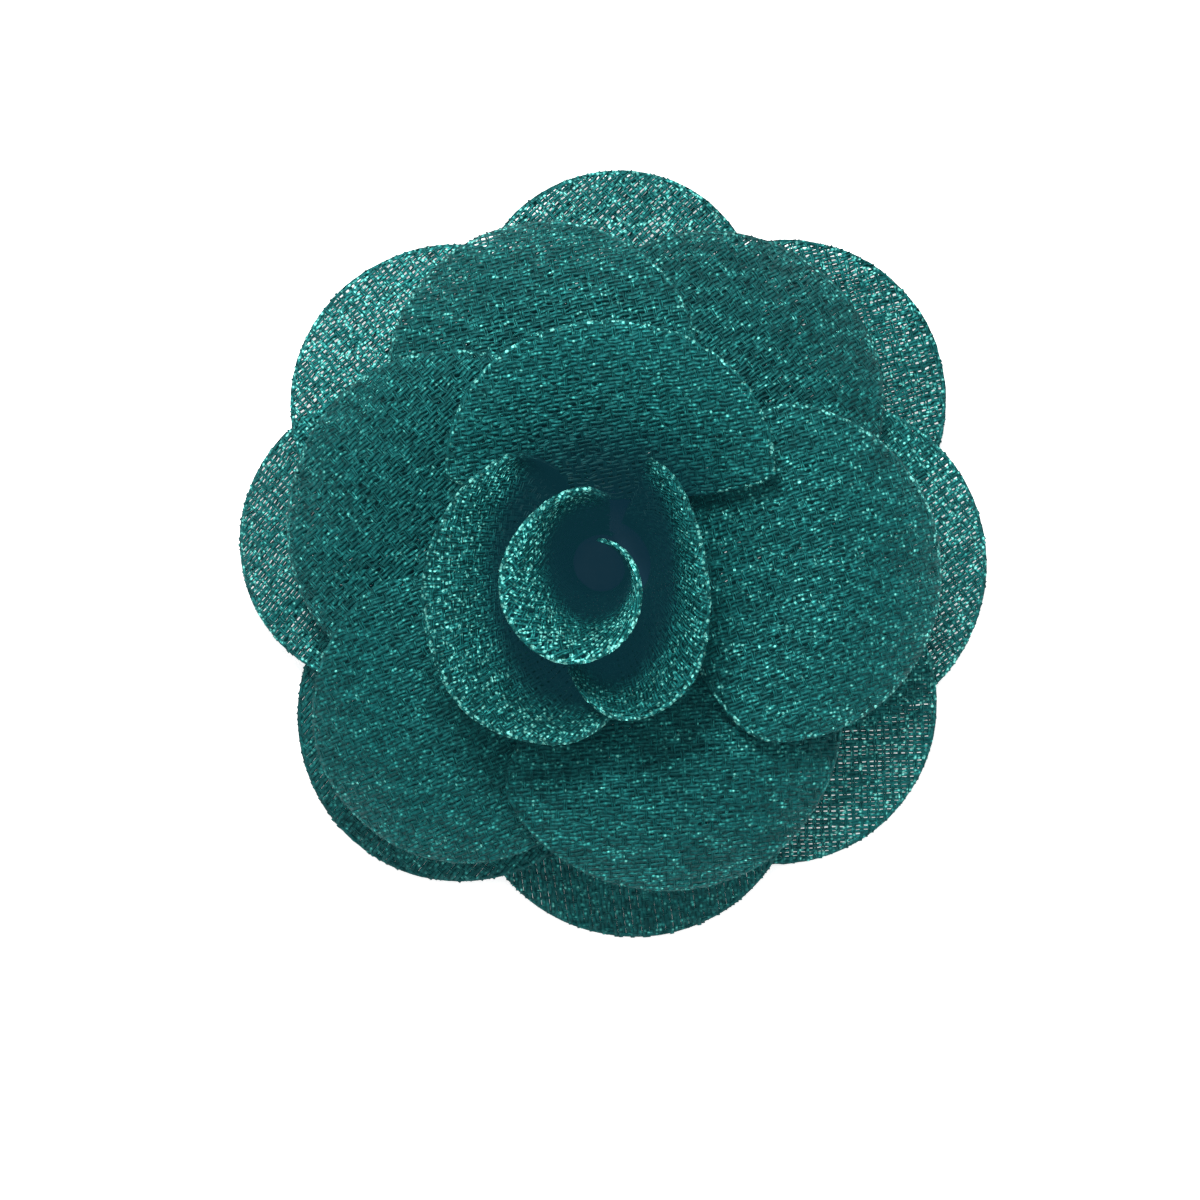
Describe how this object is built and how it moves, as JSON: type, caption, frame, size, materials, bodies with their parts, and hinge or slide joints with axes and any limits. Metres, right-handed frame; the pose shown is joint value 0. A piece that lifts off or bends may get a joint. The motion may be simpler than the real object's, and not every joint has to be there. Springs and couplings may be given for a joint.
{
  "type": "flower lapel pin",
  "caption": "Flower lapel pin: rings of round cloth petals gathered about a rolled bud, with a plain bar pin on a round pad behind.",
  "frame": {"origin": "on the surface that the flower lies on, under the middle of its outline", "axes": "+Z out of the flower's face, +Y towards the top of its face, +X to its right"},
  "size_m": [0.0754, 0.0772, 0.0259],
  "materials": {
    "cloth": "open weave of dark teal metallic threads, glittering",
    "metal": "plain nickel-plated steel"
  },
  "bodies": {
    "root": {"outer_petal_1": "cloth", "outer_petal_2": "cloth", "outer_petal_3": "cloth", "outer_petal_4": "cloth", "outer_petal_5": "cloth", "outer_petal_6": "cloth", "outer_petal_7": "cloth", "outer_petal_8": "cloth", "middle_petal_1": "cloth", "middle_petal_2": "cloth", "middle_petal_3": "cloth", "middle_petal_4": "cloth", "middle_petal_5": "cloth", "middle_petal_6": "cloth", "inner_petal": "cloth", "cup_petal_left": "cloth", "cup_petal_right": "cloth", "rolled_bud": "cloth", "pin_back": "metal"}
  },
  "joints": []
}
